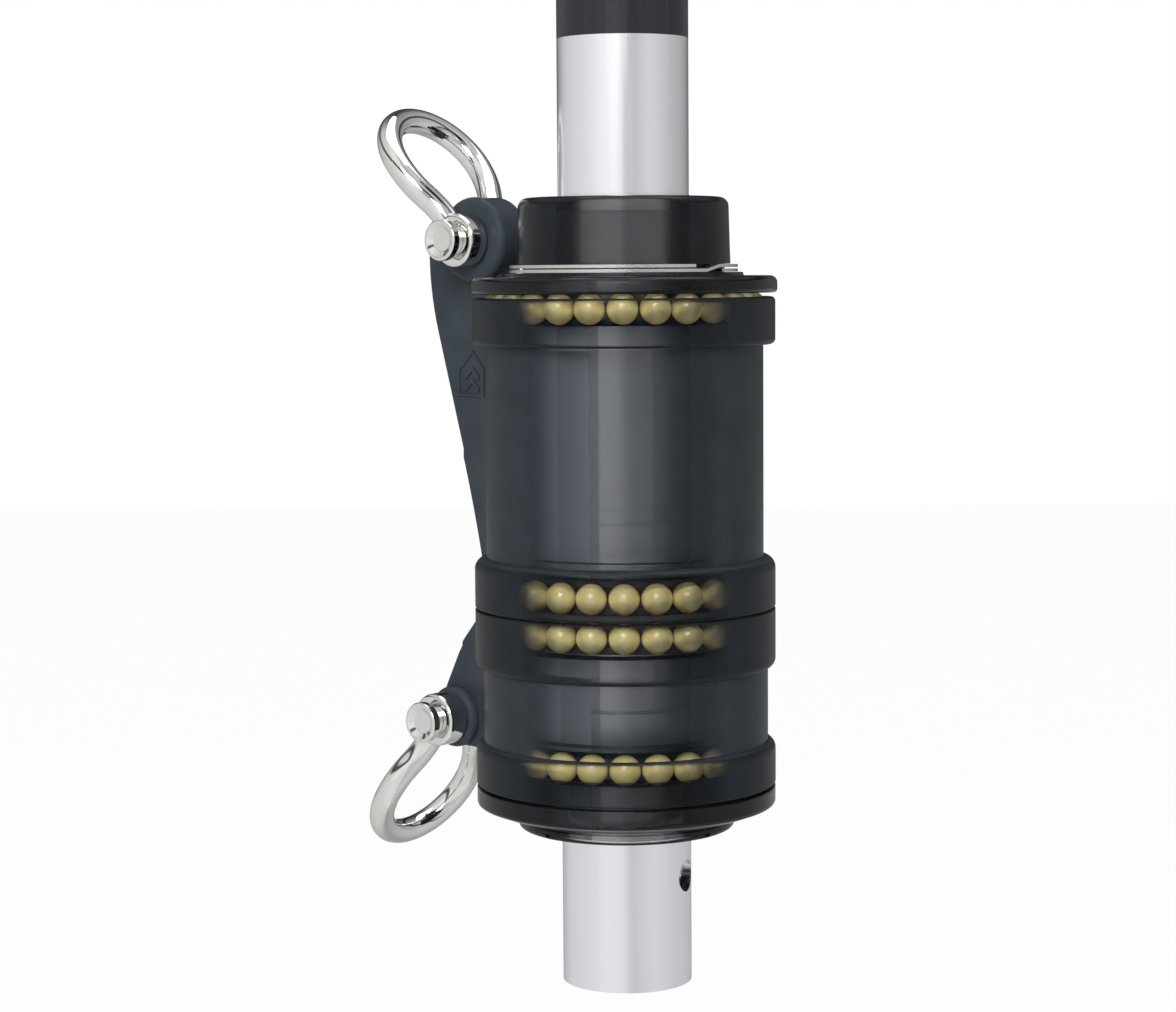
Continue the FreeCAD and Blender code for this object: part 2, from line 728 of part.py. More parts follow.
def make_lower_housing():
    """Lower housing: two rims, a short waist, a skirt over the bottom row, and an ear."""
    top_ledge = lower_top_z - lower_top_rim
    low_ledge = lower_bottom_z + lower_low_rim
    shell = turned([
        (land_r, lower_bottom_z, 0),
        (rim_r, lower_bottom_z, seam_edge_round),
        (rim_r, low_ledge, lower_shoulder_round),
        (lower_waist_r, low_ledge, 0),
        (lower_waist_r, top_ledge, 0),
        (rim_r, top_ledge, lower_shoulder_round),
        (rim_r, lower_top_z, seam_edge_round),
        (land_r, lower_top_z, 0)])
    boss_z = lower_bottom_z + lower_boss_height
    web_top = lower_top_z - lower_web_drop
    web_bottom = boss_z - lower_boss_r + boss_to_web_edge
    corners = [
        (web_root, web_top, 0),
        (rim_r + lower_web_top_out, web_top, lower_web_top_round),
        (rim_r + lower_web_mid_out, web_top - lower_web_mid_drop, lower_web_bend),
        (lower_boss_out + lower_web_corner_out, boss_z + lower_web_corner_rise, 0),
        (lower_boss_out, boss_z, 0),
        (lower_boss_out, web_bottom, 0),
        (web_root, web_bottom, 0)]
    ear = web_solid(corners).fuse(boss_solid(lower_boss_out, boss_z, lower_boss_r))
    flare = web_flare(corners, lower_waist_r, web_bottom, web_top)
    shell = shell.fuse(flare).fuse(ear)
    mid_flange_z = third_row_z - 2 * centre_ring_margin + ball_r
    inner_lip = bottom_row_z + lower_lip_height
    skirt_r = ball_pitch_r + groove_r
    cuts = [
        ring_solid(land_r - 1, radial_land_r, mid_flange_z, lower_top_z + 1),
        ring_solid(land_r - 1, cavity_r, lower_bottom_z + bottom_flange_top, mid_flange_z - lower_flange),
        ring_solid(land_r - 1, ball_pitch_r, lower_bottom_z - 1, inner_lip),
        ring_solid(ball_pitch_r - 1, skirt_r, lower_bottom_z - 1, bottom_row_z),
        race_groove(third_row_z),
        race_groove(bottom_row_z),
        ear_bore(lower_boss_out, boss_z, pin_bush_r)]
    for cut in cuts:
        shell = shell.cut(cut)
    save(park(shell), "lower_housing")
    return boss_z


def bow_solid():
    """Bow shackle standing on its pin axis: +Z to the bow, the pin along Y."""
    leg_y = shackle_jaw / 2 + shackle_ear_thickness / 2
    crown_r = shackle_bow_width / 2
    crown_z = shackle_reach - crown_r
    widen = crown_r - leg_y
    length = crown_z - shackle_leg
    swing_r = (widen ** 2 + length ** 2) / (4 * widen)
    swing = math.asin(length / (2 * swing_r))

    def leg_points(side):
        half_turn = swing / 2
        first = V(0, side * leg_y, shackle_leg)
        first_mid = V(0, side * (leg_y + swing_r * (1 - math.cos(half_turn))),
                      shackle_leg + swing_r * math.sin(half_turn))
        middle = V(0, side * (leg_y + widen / 2), shackle_leg + length / 2)
        last_mid = V(0, side * (crown_r - swing_r * (1 - math.cos(half_turn))),
                     crown_z - swing_r * math.sin(half_turn))
        last = V(0, side * crown_r, crown_z)
        return first, first_mid, middle, last_mid, last

    a = leg_points(-1)
    b = leg_points(1)
    start = V(0, -leg_y, shackle_leg / 2)
    edges = [
        Part.makeLine(start, a[0]),
        Part.Arc(a[0], a[1], a[2]).toShape(),
        Part.Arc(a[2], a[3], a[4]).toShape(),
        Part.Arc(a[4], V(0, 0, shackle_reach), b[4]).toShape(),
        Part.Arc(b[4], b[3], b[2]).toShape(),
        Part.Arc(b[2], b[1], b[0]).toShape(),
        Part.makeLine(b[0], V(0, leg_y, shackle_leg / 2)),
    ]
    path = Part.Wire(edges)
    ring = Part.Wire(Part.Circle(start, AXIS, shackle_bar_r).toShape())
    bow = path.makePipeShell([ring], True, True)
    for side in (-1, 1):
        y = side * leg_y - shackle_ear_thickness / 2
        ear = Part.makeCylinder(shackle_ear_r, shackle_ear_thickness, V(0, y, 0), V(0, 1, 0))
        rims = [e for e in ear.Edges if abs(e.BoundBox.YMax - e.BoundBox.YMin) < 1e-6]
        bow = bow.fuse(ear.makeFillet(shackle_ear_round, rims))
    hole = Part.makeCylinder(pin_hole_r, 4 * shackle_jaw, V(0, -2 * shackle_jaw, 0), V(0, 1, 0))
    return bow.cut(hole)


def pin_solid():
    """Screw pin along Y, its dished round head standing off the -Y ear on a neck."""
    face = shackle_jaw / 2 + shackle_ear_thickness
    neck_end = -face - stack_gap
    neck_start = neck_end - pin_neck
    head_start = neck_start - pin_head
    end = face + pin_end
    pin = turned([
        (0, head_start + pin_dish, 0),
        (pin_floor_r, head_start + pin_dish, 0.4),
        (pin_dish_r, head_start, 0.3),
        (pin_head_r, head_start, 0.5),
        (pin_head_r, neck_start, 0.6),
        (pin_neck_r, neck_start, 0.4),
        (pin_neck_r, neck_end, 0),
        (pin_r, neck_end, 0),
        (pin_r, end - pin_tip_chamfer, 0),
        (pin_r - pin_tip_chamfer, end, 0),
        (0, end, 0)])
    pin.rotate(V(0, 0, 0), V(1, 0, 0), -90)
    return pin


def make_shackle(name, out, z, angle):
    """Bow, pin and pin bush of one ear; the angle turns the bow about the pin from straight up."""
    for node, shape in ((name + "_shackle_bow", bow_solid()), (name + "_shackle_pin", pin_solid())):
        shape.rotate(V(0, 0, 0), V(0, 1, 0), angle)
        shape.translate(V(-out, 0, z))
        save(park(shape), node)
    length = boss_thickness - 2 * pin_bush_recess
    start = V(-out, -length / 2, z)
    bush = Part.makeCylinder(pin_bush_r - press_gap, length, start, V(0, 1, 0))
    bush = bush.cut(Part.makeCylinder(pin_hole_r, length, start, V(0, 1, 0)))
    save(park(bush), name + "_pin_bush")


make_foil()
make_sleeve()
make_bushings()
make_cover()
make_retaining_ring()
make_bottom_cap()
make_centre_race()
make_ball_rows()
upper_pin_z = make_upper_housing()
lower_pin_z = make_lower_housing()
make_shackle("upper", upper_boss_out, upper_pin_z, -upper_shackle_lean)
make_shackle("lower", lower_boss_out, lower_pin_z, -(180 - lower_shackle_lean))
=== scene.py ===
import json
import math

import bmesh
import bpy
from mathutils import Matrix, Vector


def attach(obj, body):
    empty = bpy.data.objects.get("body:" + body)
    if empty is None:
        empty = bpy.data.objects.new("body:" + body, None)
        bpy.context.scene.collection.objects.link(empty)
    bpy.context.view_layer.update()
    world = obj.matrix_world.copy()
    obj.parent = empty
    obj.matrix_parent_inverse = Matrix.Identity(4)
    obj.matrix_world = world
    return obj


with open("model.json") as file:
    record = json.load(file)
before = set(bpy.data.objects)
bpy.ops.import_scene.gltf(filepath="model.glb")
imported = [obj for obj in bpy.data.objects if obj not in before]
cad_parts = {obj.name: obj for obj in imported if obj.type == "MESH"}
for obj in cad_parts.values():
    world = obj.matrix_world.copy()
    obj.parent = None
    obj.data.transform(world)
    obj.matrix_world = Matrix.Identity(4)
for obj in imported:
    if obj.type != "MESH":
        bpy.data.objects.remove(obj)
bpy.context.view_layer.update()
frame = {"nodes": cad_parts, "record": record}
nodes = frame["nodes"]

MM = 0.001
WHITE = (1.0, 1.0, 1.0, 1.0)

# Camera, from the photograph's eye level, scale and lean
PHOTO_WIDTH = 1176.0
FOCAL_PX = 2700.0
SENSOR_MM = 36.0
CAMERA_PLACE = (-0.0096, -0.702, 0.1858)
CAMERA_PITCH = 5.0
CAMERA_ROLL = -0.4
CLIP_NEAR = 0.02
CLIP_FAR = 20.0

# Studio that gloss reflects, as plain levels: grey by bearing (degrees from the front, right positive)
# and by height. It is dark behind, with a white window front left and a soft panel front right.
STUDIO_WALLS = [(-180, 0.05), (-160, 0.15), (-145, 0.35), (-120, 0.65), (-90, 0.75), (-60, 0.85),
                (-40, 1.0), (-10, 0.95), (-5, 0.9), (5, 0.5), (20, 0.6), (45, 0.75), (60, 0.7),
                (100, 0.5), (120, 0.45), (145, 0.3), (160, 0.15), (180, 0.05)]
STUDIO_BANDS = [(-1.0, 0.8), (-0.52, 0.75), (-0.44, 0.12), (-0.36, 0.12), (-0.28, 1.0), (0.30, 1.0),
                (0.38, 0.12), (0.47, 0.12), (0.55, 1.0), (1.0, 1.0)]
EVEN_LIGHT = 0.24

# Floor, in metres and greys: its gloss is the studio's, lifted by the least and scaled by the gain
FLOOR_HALF = 3.0
FLOOR_Z = -0.14
FLOOR_GREY = 0.86
FLOOR_WHITE_SHARE = 0.97
FLOOR_GLOSS_LEAST = 0.36
FLOOR_GLOSS_GAIN = 0.52

# Lamps: name, place, height of the point on the axis it is turned to, width, height, watts, shown in gloss
LAMPS = [
    ("key_left", (-0.22, -0.88, 0.50), 0.13, 0.42, 0.75, 7.5, False),
    ("front_soft", (-0.12, -1.05, 0.75), 0.12, 0.60, 0.45, 5.0, True),
    ("fill_right", (0.75, -0.35, 0.28), 0.12, 0.30, 0.80, 0.8, False),
    ("top_soft", (0.05, 0.10, 0.95), 0.10, 0.70, 0.70, 3.0, True),
]

# Walls that a ray may pass before it turns black
CLEAR_WALLS = 32

# Ear plane, from the park angle of the housings, where web, ear and rims begin, and the painted shade on
# the rims and painted light on the webs and ears
EAR_PARK = math.radians(-40.0)
EAR_OUT = Vector((-math.cos(EAR_PARK), -math.sin(EAR_PARK), 0.0))
EAR_FACE = Vector((math.sin(EAR_PARK), -math.cos(EAR_PARK), 0.0))
EAR_FOOT_FROM = math.cos(math.radians(46.0))
EAR_FOOT_FULL = math.cos(math.radians(26.0))
EAR_R_FROM = 39.4 * MM
EAR_R_FULL = 40.6 * MM
RIM_R_FROM = 38.2 * MM
RIM_R_FULL = 38.6 * MM
# Painted shade on the rims and painted light on the webs and ears
RIM_PAINTED_SHADE = 0.5
EAR_PAINTED_LIGHT = 0.5

# Upper web: half its thickness, the wall it stands on and the radius it flares by
WEB_HALF = 2.5 * MM
WAIST_R = 36.13 * MM
FLARE_R = 25.0 * MM

# Sleeve: its clear strip, the top of its lighter body, its body's painted light at the left and painted
# shade at the right, and what each place adds to its smoke (more at the strip's right, a painted shade)
STRIP_HALF = 9.3 * MM
STRIP_EDGE = 0.3 * MM
CORE_TOP = 186.0 * MM
CORE_TURN = 6.0 * MM
# The body's greys: lighter at the left as painted light, darker at the right as painted shade
CORE_LEFT_PAINTED_LIGHT = (0.170, 0.192, 0.220)
CORE_RIGHT_PAINTED_SHADE = (0.080, 0.094, 0.113)
STRIP_SMOKE = 0.38
# More smoke toward the strip's right: a painted shade
STRIP_PAINTED_SHADE_SMOKE = 0.18
BESIDE_SMOKE = 0.36
COLLAR_SMOKE = 0.20
BACK_SMOKE = 0.03

# Arrow sign: its middle from the axis and in height, how far it stands proud, and how deep it is sunk
SIGN_OUT = 50.6 * MM
SIGN_Z = 158.0 * MM
SIGN_HIGH = 0.40 * MM
SIGN_SUNK = -0.15 * MM
SIGN_STEP = 1.6 * MM
SIGN_BEVEL = 0.1 * MM
HOUSE_HALF = 5.7 * MM
HOUSE_LOW = -6.3 * MM
HOUSE_WALL = 1.2 * MM
HOUSE_PEAK = 6.3 * MM
HOUSE_RIB = 0.8 * MM
CHEVRON_HALF = 2.9 * MM
CHEVRON_DROP = 2.5 * MM
CHEVRON_THICK = 1.3 * MM
CHEVRON_BASES = (-2.6 * MM, 0.6 * MM)
LEAST_LEAN = 0.2


def make_camera():
    data = bpy.data.cameras.new("photo_camera")
    data.sensor_width = SENSOR_MM
    data.sensor_fit = "HORIZONTAL"
    data.lens = SENSOR_MM * FOCAL_PX / PHOTO_WIDTH
    data.clip_start = CLIP_NEAR
    data.clip_end = CLIP_FAR
    camera = bpy.data.objects.new("photo_camera", data)
    bpy.context.scene.collection.objects.link(camera)
    tilt = Matrix.Rotation(math.radians(90.0 - CAMERA_PITCH), 4, "X")
    roll = Matrix.Rotation(math.radians(CAMERA_ROLL), 4, "Z")
    camera.matrix_world = Matrix.Translation(CAMERA_PLACE) @ tilt @ roll
    bpy.context.scene.camera = camera


def make_lamps():
    for name, place, aim_height, width, height, power, in_gloss in LAMPS:
        data = bpy.data.lights.new(name, "AREA")
        data.shape = "RECTANGLE"
        data.size = width
        data.size_y = height
        data.energy = power
        lamp = bpy.data.objects.new(name, data)
        bpy.context.scene.collection.objects.link(lamp)
        aim = Vector((0.0, 0.0, aim_height)) - Vector(place)
        turn = aim.to_track_quat("-Z", "Y").to_matrix().to_4x4()
        lamp.matrix_world = Matrix.Translation(place) @ turn
        lamp.visible_glossy = in_gloss


def fill_ramp(ramp, stops):
    """Set a colour ramp's two own stops first, then add those between."""
    elements = ramp.elements
    for element, (position, colour) in zip((elements[0], elements[-1]), (stops[0], stops[-1])):
        element.position = position
        element.color = (*colour, 1.0)
    for position, colour in stops[1:-1]:
        elements.new(position).color = (*colour, 1.0)


def colour_ramp(tree, value, stops):
    node = tree.nodes.new("ShaderNodeValToRGB")
    fill_ramp(node.color_ramp, stops)
    tree.links.new(value, node.inputs[0])
    return node.outputs["Color"]


def calc(tree, operation, *values):
    """A math node on numbers or sockets."""
    node = tree.nodes.new("ShaderNodeMath")
    node.operation = operation
    for i, value in enumerate(values):
        if isinstance(value, (int, float)):
            node.inputs[i].default_value = value
        else:
            tree.links.new(value, node.inputs[i])
    return node.outputs[0]


def studio_walls(tree, x, y, least=0.0, gain=1.0):
    """Grey of the studio's walls at a bearing, for gloss to reflect."""
    bearing = calc(tree, "ARCTAN2", x, calc(tree, "MULTIPLY", y, -1.0))
    around = calc(tree, "ADD", calc(tree, "DIVIDE", bearing, math.tau), 0.5)
    stops = [((degrees + 180.0) / 360.0, (least + gain * grey,) * 3) for degrees, grey in STUDIO_WALLS]
    return colour_ramp(tree, around, stops)


def mix_shaders(tree, share, first, second):
    node = tree.nodes.new("ShaderNodeMixShader")
    tree.links.new(share, node.inputs[0])
    tree.links.new(first, node.inputs[1])
    tree.links.new(second, node.inputs[2])
    return node.outputs[0]


def glow(tree, kind, strength, colour=None):
    """White light of a strength, or light of a linked colour."""
    node = tree.nodes.new(kind)
    node.inputs["Color"].default_value = WHITE
    node.inputs["Strength"].default_value = strength
    if colour is not None:
        tree.links.new(colour, node.inputs["Color"])
    return node.outputs[0]


def split_xyz(tree, source):
    """X, y and z of a texture coordinate."""
    coord = tree.nodes.new("ShaderNodeTexCoord")
    split = tree.nodes.new("ShaderNodeSeparateXYZ")
    tree.links.new(coord.outputs[source], split.inputs[0])
    return split.outputs["X"], split.outputs["Y"], split.outputs["Z"]


def make_world():
    """White to the camera, even light on the object, and a plain studio for gloss to reflect."""
    world = bpy.data.worlds.new("studio")
    bpy.context.scene.world = world
    world.use_nodes = True
    tree = world.node_tree
    tree.nodes.clear()
    x, y, z = split_xyz(tree, "Generated")
    height = calc(tree, "ADD", calc(tree, "MULTIPLY", z, 0.5), 0.5)
    bands = colour_ramp(tree, height, [((level + 1.0) / 2.0, (grey,) * 3) for level, grey in STUDIO_BANDS])
    both = tree.nodes.new("ShaderNodeVectorMath")
    both.operation = "MULTIPLY"
    tree.links.new(studio_walls(tree, x, y), both.inputs[0])
    tree.links.new(bands, both.inputs[1])
    kind = "ShaderNodeBackground"
    path = tree.nodes.new("ShaderNodeLightPath")
    even, white = glow(tree, kind, EVEN_LIGHT), glow(tree, kind, 1.0)
    lit = mix_shaders(tree, path.outputs["Is Glossy Ray"], even, glow(tree, kind, 1.0, both.outputs[0]))
    through = calc(tree, "MAXIMUM", path.outputs["Is Camera Ray"], path.outputs["Is Transmission Ray"])
    out = tree.nodes.new("ShaderNodeOutputWorld")
    tree.links.new(mix_shaders(tree, through, lit, white), out.inputs["Surface"])


def make_floor():
    """Pale floor under the hanging piece: it shows white and keeps the soft shadow."""
    mesh = bpy.data.meshes.new("studio_floor")
    corners = [(-1, -1), (1, -1), (1, 1), (-1, 1)]
    mesh.from_pydata([(FLOOR_HALF * x, FLOOR_HALF * y, FLOOR_Z) for x, y in corners], [], [(0, 1, 2, 3)])
    floor = bpy.data.objects.new("studio_floor", mesh)
    bpy.context.scene.collection.objects.link(floor)
    mat = bpy.data.materials.new("pale_floor")
    mat.use_nodes = True
    tree = mat.node_tree
    tree.nodes.clear()
    out = tree.nodes.new("ShaderNodeOutputMaterial")
    matt = tree.nodes.new("ShaderNodeBsdfDiffuse")
    matt.inputs["Color"].default_value = (FLOOR_GREY, FLOOR_GREY, FLOOR_GREY, 1.0)
    x, y, _ = split_xyz(tree, "Object")
    gloss = studio_walls(tree, x, y, FLOOR_GLOSS_LEAST, FLOOR_GLOSS_GAIN)
    kind = "ShaderNodeEmission"
    path = tree.nodes.new("ShaderNodeLightPath")
    sheen = mix_shaders(tree, path.outputs["Is Glossy Ray"], matt.outputs[0], glow(tree, kind, 1.0, gloss))
    seen = calc(tree, "MULTIPLY", path.outputs["Is Camera Ray"], FLOOR_WHITE_SHARE)
    tree.links.new(mix_shaders(tree, seen, sheen, glow(tree, kind, 1.0)), out.inputs["Surface"])
    mesh.materials.append(mat)


class Look:
    """A node material with a few short-cuts."""

    def __init__(self, name):
        self.name = name
        self.mat = bpy.data.materials.new(name)
        self.mat.use_nodes = True
        self.tree = self.mat.node_tree
        self.tree.nodes.clear()
        self.bsdf = self.new("ShaderNodeBsdfPrincipled")
        self.link(self.bsdf.outputs["BSDF"], self.new("ShaderNodeOutputMaterial").inputs["Surface"])

    def new(self, kind):
        return self.tree.nodes.new(kind)

    def link(self, a, b):
        self.tree.links.new(a, b)

    def drive(self, **sockets):
        """Link outputs to the shader's inputs; an underscore in a name stands for a space."""
        for name, socket in sockets.items():
            self.link(socket, self.bsdf.inputs[name.replace("_", " ")])

    def put(self, **values):
        """Set plain numbers on the shader's own inputs."""
        for name, value in values.items():
            self.bsdf.inputs[name.replace("_", " ")].default_value = value

    def math(self, operation, *values):
        return calc(self.tree, operation, *values)

    def span(self, value, low, high, to_low=0.0, to_high=1.0):
        """A smooth step from one level to another."""
        node = self.new("ShaderNodeMapRange")
        node.interpolation_type = "SMOOTHSTEP"
        self.link(value, node.inputs["Value"])
        node.inputs["From Min"].default_value = low
        node.inputs["From Max"].default_value = high
        node.inputs["To Min"].default_value = to_low
        node.inputs["To Max"].default_value = to_high
        return node.outputs["Result"]

    def noise(self, scale, stretch=(1, 1, 1), detail=3.0, rough=0.5):
        coord = self.new("ShaderNodeTexCoord")
        mapping = self.new("ShaderNodeMapping")
        mapping.inputs["Scale"].default_value = stretch
        self.link(coord.outputs["Object"], mapping.inputs["Vector"])
        node = self.new("ShaderNodeTexNoise")
        node.inputs["Scale"].default_value = scale
        node.inputs["Detail"].default_value = detail
        node.inputs["Roughness"].default_value = rough
        self.link(mapping.outputs["Vector"], node.inputs["Vector"])
        return node.outputs["Fac"]

    def blend(self, value, dark, light):
        """A colour between two tones, by the middle of a noise."""
        return colour_ramp(self.tree, value, [(0.3, dark), (0.7, light)])

    def bump(self, value, depth, strength, under=None):
        node = self.new("ShaderNodeBump")
        node.inputs["Strength"].default_value = strength
        node.inputs["Distance"].default_value = depth
        self.link(value, node.inputs["Height"])
        if under is not None:
            self.link(under, node.inputs["Normal"])
        return node.outputs["Normal"]

    def xyz(self):
        return split_xyz(self.tree, "Object")

    def radius(self):
        x, y, _ = self.xyz()
        return self.math("SQRT", self.math("ADD", self.math("MULTIPLY", x, x), self.math("MULTIPLY", y, y)))

    def facing(self):
        node = self.new("ShaderNodeLayerWeight")
        node.inputs["Blend"].default_value = 0.5
        return node.outputs["Facing"]

    def base_colour(self):
        return self.bsdf.inputs["Base Color"].links[0].from_socket


def anodised(name, light, dark, rough):
    """Extruded and anodised: fine lines along the length under a satin finish."""
    look = Look(name)
    lines = look.noise(900.0, (1, 1, 0.012), 4.0, 0.6)
    cloud = look.noise(60.0, (1, 1, 0.4), 2.0)
    fine = look.noise(6000.0, detail=2.0)
    tone = look.math("ADD", look.math("MULTIPLY", lines, 0.7), look.math("MULTIPLY", cloud, 0.3))
    grooves = look.bump(lines, 0.02 * MM, 0.35)
    look.drive(Base_Color=look.blend(tone, dark, light),
               Roughness=look.span(lines, 0.3, 0.7, rough - 0.04, rough + 0.05),
               Normal=look.bump(fine, 0.01 * MM, 0.2, grooves))
    look.put(Metallic=1.0)
    return look


def steel(name, light, dark, rough, stretch=(1, 1, 1)):
    """Stainless steel with faint polishing marks."""
    look = Look(name)
    marks = look.noise(700.0, stretch, 4.0, 0.6)
    look.drive(Base_Color=look.blend(marks, dark, light),
               Roughness=look.span(marks, 0.3, 0.7, rough * 0.75, rough * 1.3),
               Normal=look.bump(marks, 0.01 * MM, 0.3))
    look.put(Metallic=1.0)
    return look


def moulded(name, light, dark, rough, grain=0.02 * MM, scale=2500.0):
    """Moulded plastic with a fine grain and slight cloudiness."""
    look = Look(name)
    cloud = look.noise(120.0)
    fine = look.noise(scale, detail=2.0)
    look.drive(Base_Color=look.blend(cloud, dark, light),
               Roughness=look.span(fine, 0.3, 0.7, rough - 0.04, rough + 0.06),
               Normal=look.bump(fine, grain, 0.3))
    return look


def see_through(look, smoke, edge_from, edge_full, solid=0.0):
    """Smoky wall: clear where its outside is seen square on, closed at grazing angles and by the mask."""
    edge = look.span(look.facing(), edge_from, edge_full)
    outside = look.math("MAXIMUM", look.math("MAXIMUM", edge, solid), smoke)
    mix = look.new("ShaderNodeMix")
    mix.data_type = "FLOAT"
    look.link(look.new("ShaderNodeNewGeometry").outputs["Backfacing"], mix.inputs[0])
    look.link(outside, mix.inputs[2])
    mix.inputs[3].default_value = BACK_SMOKE
    look.drive(Alpha=mix.outputs[0])


def sleeve_smoke(look):
    """The sleeve is clearest at the left of a strip at its front, with more smoke toward the strip's right
    as a painted shade, and thicker in its collar.
    """
    x, y, z = look.xyz()
    beside = look.span(look.math("ABSOLUTE", x), STRIP_HALF - STRIP_EDGE, STRIP_HALF)
    behind = look.math("GREATER_THAN", y, 0.0)
    outside = look.math("MULTIPLY", look.math("MAXIMUM", beside, behind), BESIDE_SMOKE)
    # Painted shade: the strip grows smokier toward its right
    right = look.span(x, -STRIP_HALF, STRIP_HALF, 0.0, STRIP_PAINTED_SHADE_SMOKE)
    body = look.math("MULTIPLY", look.math("MAXIMUM", outside, right), look.math("LESS_THAN", z, CORE_TOP))
    collar = look.math("MULTIPLY", look.math("GREATER_THAN", z, CORE_TOP), COLLAR_SMOKE)
    return look.math("ADD", look.math("ADD", body, collar), STRIP_SMOKE)


def tint_core_and_paint_light(look):
    """The sleeve's body under the cover is a lighter grey than its black collar, lighter still at its left
    as a painted light and darker at its right as a painted shade.
    """
    x, _, z = look.xyz()
    # Painted light at the left, painted shade at the right
    across = look.span(x, -CORE_TURN, CORE_TURN)
    body = colour_ramp(look.tree, across, [(0.0, CORE_LEFT_PAINTED_LIGHT), (1.0, CORE_RIGHT_PAINTED_SHADE)])
    mix = look.new("ShaderNodeMix")
    mix.data_type = "RGBA"
    look.link(look.math("GREATER_THAN", z, CORE_TOP), mix.inputs[0])
    look.link(body, mix.inputs[6])
    look.link(look.base_colour(), mix.inputs[7])
    look.drive(Base_Color=mix.outputs[2])


def ear_mask(look):
    """One on the web, ear and boss, and nought on the round body."""
    x, y, _ = look.xyz()
    r = look.radius()
    out = look.math("ADD", look.math("MULTIPLY", x, EAR_OUT.x), look.math("MULTIPLY", y, EAR_OUT.y))
    toward = look.math("DIVIDE", out, look.math("MAXIMUM", r, MM))
    foot = look.span(toward, EAR_FOOT_FROM, EAR_FOOT_FULL)
    return look.math("MAXIMUM", foot, look.span(r, EAR_R_FROM, EAR_R_FULL))


def paint_shade_and_light_on_housing(look, ears):
    """The rims are darker than the walls, a painted shade, and the webs and ears are lighter, a painted
    light.
    """
    # Painted shade on the rims, painted light on the webs and ears
    rim = look.math("SUBTRACT", look.span(look.radius(), RIM_R_FROM, RIM_R_FULL), ears)
    darker = look.math("MULTIPLY", look.math("MAXIMUM", rim, 0.0), RIM_PAINTED_SHADE)
    lighter = look.math("MULTIPLY", ears, EAR_PAINTED_LIGHT)
    scale = look.new("ShaderNodeVectorMath")
    scale.operation = "SCALE"
    look.link(look.base_colour(), scale.inputs[0])
    look.link(look.math("ADD", look.math("SUBTRACT", 1.0, darker), lighter), scale.inputs["Scale"])
    look.drive(Base_Color=scale.outputs[0])


def make_materials():
    """Every look by its slot: a lighter and a darker tone, the roughness, then what sets it apart."""
    silver_foil = anodised("silver_foil", (0.91, 0.91, 0.95), (0.86, 0.86, 0.90), 0.22)
    black_foil = anodised("black_foil", (0.030, 0.033, 0.038), (0.018, 0.020, 0.024), 0.24)
    black_foil.put(Metallic=0.4, Specular_IOR_Level=0.3)
    link_aluminium = anodised("link_aluminium", (0.66, 0.66, 0.67), (0.58, 0.58, 0.60), 0.45)
    fastener_steel = steel("fastener_steel", (0.64, 0.64, 0.63), (0.52, 0.52, 0.52), 0.28)
    ring_steel = steel("ring_steel", (0.66, 0.66, 0.62), (0.60, 0.60, 0.56), 0.26, (1, 1, 12))
    polished_steel = steel("polished_steel", (0.80, 0.79, 0.77), (0.74, 0.73, 0.71), 0.05)
    race_plastic = moulded("race_plastic", (0.07, 0.07, 0.07), (0.05, 0.05, 0.05), 0.5)

    ball_plastic = moulded("ball_plastic", (0.72, 0.61, 0.27), (0.61, 0.51, 0.21), 0.20,
                           grain=0.004 * MM, scale=1500.0)
    ball_plastic.put(Specular_IOR_Level=1.0)

    black_cover = moulded("black_cover", (0.006, 0.007, 0.0078), (0.004, 0.005, 0.0056), 0.13,
                          grain=0.003 * MM)
    black_cover.put(Specular_IOR_Level=0.20)
    see_through(black_cover, smoke=0.42, edge_from=0.03, edge_full=0.24)

    smoked_housing = moulded("smoked_housing", (0.026, 0.032, 0.039), (0.020, 0.025, 0.031), 0.34)
    smoked_housing.put(Specular_IOR_Level=0.10)
    ears = ear_mask(smoked_housing)
    # Painted shade on the rims, painted light on the webs and ears
    paint_shade_and_light_on_housing(smoked_housing, ears)
    see_through(smoked_housing, smoke=0.15, edge_from=0.04, edge_full=0.32, solid=ears)

    smoked_sleeve = moulded("smoked_sleeve", (0.009, 0.011, 0.013), (0.006, 0.008, 0.010), 0.20,
                            grain=0.002 * MM)
    smoked_sleeve.put(Specular_IOR_Level=0.15)
    # Sleeve body tinted, with painted light at its left and painted shade at its right
    tint_core_and_paint_light(smoked_sleeve)
    see_through(smoked_sleeve, smoke=sleeve_smoke(smoked_sleeve), edge_from=0.17, edge_full=0.24)

    bushing_plastic = moulded("bushing_plastic", (0.17, 0.18, 0.20), (0.13, 0.14, 0.15), 0.40)
    see_through(bushing_plastic, smoke=0.20, edge_from=0.40, edge_full=0.90)

    made = (silver_foil, black_foil, link_aluminium, fastener_steel, ring_steel, polished_steel,
            race_plastic, ball_plastic, black_cover, smoked_housing, smoked_sleeve, bushing_plastic)
    return {look.name: look.mat for look in made}


def dress(materials):
    """Give every CAD node the look of its slot."""
    for part in frame["record"]["subparts"]:
        for place in nodes[part["node"]].material_slots:
            place.material = materials[part["material_slot"]]


def outline_band(points, width):
    """Inner outline of a closed polygon, a width inside it."""
    inner = []
    count = len(points)
    for i in range(count):
        a, b, c = (Vector(points[i - 1]), Vector(points[i]), Vector(points[(i + 1) % count]))
        first, second = (b - a).normalized(), (c - b).normalized()
        n1, n2 = Vector((-first.y, first.x)), Vector((-second.y, second.x))
        lean = (n1 + n2).normalized()
        inner.append(b + lean * (width / max(lean.dot(n1), LEAST_LEAN)))
    return inner


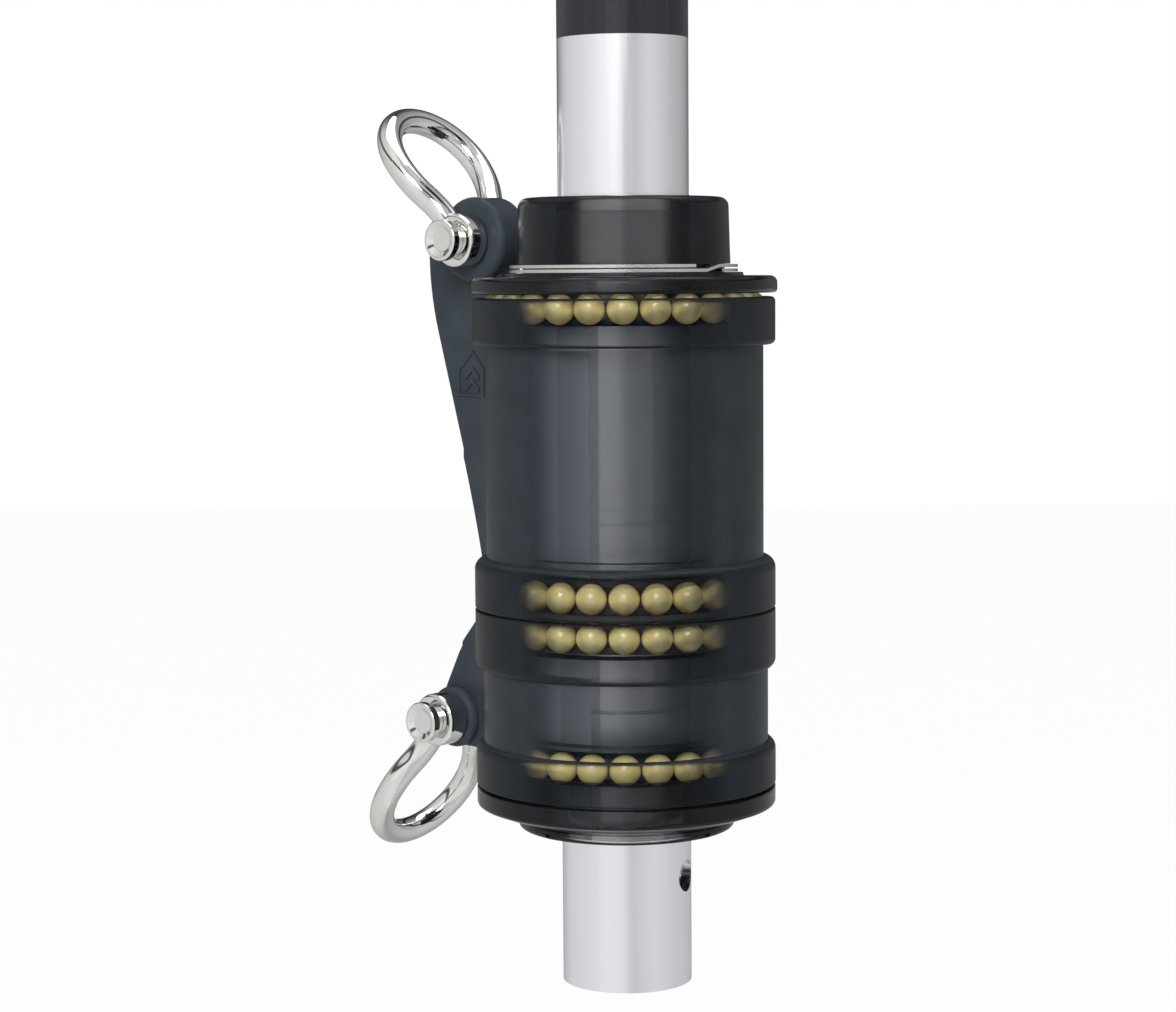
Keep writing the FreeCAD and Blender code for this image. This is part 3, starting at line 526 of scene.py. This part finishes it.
def web_face(out):
    """How far the web's near face stands from its middle plane, at a distance from the axis."""
    centre_out = math.sqrt((WAIST_R + FLARE_R) ** 2 - (WEB_HALF + FLARE_R) ** 2)
    if out >= centre_out:
        return WEB_HALF
    return WEB_HALF + FLARE_R - math.sqrt(FLARE_R ** 2 - (centre_out - out) ** 2)


def on_web(across, up, height):
    """A place of the sign, measured from its middle and from the web's near face."""
    out = SIGN_OUT - across
    return EAR_OUT * out + EAR_FACE * (web_face(out) + height) + Vector((0.0, 0.0, SIGN_Z + up))


def finely(outer, inner):
    """Both outlines with their long sides cut into short steps, to lie on the curved web."""
    rings = ([], [])
    for i, start in enumerate(outer):
        j = (i + 1) % len(outer)
        steps = max(1, round(math.dist(start, outer[j]) / SIGN_STEP))
        for ring, points in zip(rings, (outer, inner)):
            a, b = Vector(points[i]), Vector(points[j])
            ring.extend(a.lerp(b, k / steps) for k in range(steps))
    return rings


def add_sign_ring(bm, points, height):
    return [bm.verts.new(on_web(across, up, height)) for across, up in points]


def bridge(bm, a, b):
    """Faces between two rings of as many points."""
    for i in range(len(a)):
        j = (i + 1) % len(a)
        bm.faces.new((a[i], a[j], b[j], b[i]))


def add_house(bm):
    """The house-shaped outline: a low rib with sloping sides, sunk a little into the web."""
    house = [(-HOUSE_HALF, HOUSE_LOW), (HOUSE_HALF, HOUSE_LOW), (HOUSE_HALF, HOUSE_WALL),
             (0.0, HOUSE_PEAK), (-HOUSE_HALF, HOUSE_WALL)]
    outer, inner = finely(house, outline_band(house, HOUSE_RIB))
    rows = [add_sign_ring(bm, ring, height) for ring, height in
            ((outer, SIGN_SUNK), (outer, SIGN_HIGH), (inner, SIGN_HIGH), (inner, SIGN_SUNK))]
    for k in range(len(rows)):
        bridge(bm, rows[k - 1], rows[k])


def add_chevron(bm, base):
    low, high = base - CHEVRON_DROP, base - CHEVRON_DROP + CHEVRON_THICK
    outline = [(-CHEVRON_HALF, low), (0.0, base), (CHEVRON_HALF, low), (CHEVRON_HALF, high),
               (0.0, base + CHEVRON_THICK), (-CHEVRON_HALF, high)]
    front = add_sign_ring(bm, outline, SIGN_HIGH)
    rear = add_sign_ring(bm, outline, SIGN_SUNK)
    for ring in (front, rear[::-1]):
        bm.faces.new((ring[0], ring[1], ring[4], ring[5]))
        bm.faces.new((ring[1], ring[2], ring[3], ring[4]))
    bridge(bm, rear, front)


def make_arrow_sign(material):
    """Moulded sign on the upper web: a house-shaped arrow outline with two chevrons in it."""
    bm = bmesh.new()
    add_house(bm)
    for base in CHEVRON_BASES:
        add_chevron(bm, base)
    bmesh.ops.recalc_face_normals(bm, faces=bm.faces)
    mesh = bpy.data.meshes.new("arrow_sign")
    bm.to_mesh(mesh)
    bm.free()
    sign = bpy.data.objects.new("arrow_sign", mesh)
    bpy.context.scene.collection.objects.link(sign)
    bevel = sign.modifiers.new("soft_edges", "BEVEL")
    bevel.width = SIGN_BEVEL
    bevel.segments = 2
    bevel.limit_method = "ANGLE"
    mesh.materials.append(material)
    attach(sign, "upper_housing")


scene = bpy.context.scene
scene.view_settings.view_transform = "Standard"
scene.cycles.transparent_max_bounces = CLEAR_WALLS
make_camera()
make_world()
make_floor()
make_lamps()
materials = make_materials()
dress(materials)
make_arrow_sign(materials["smoked_housing"])
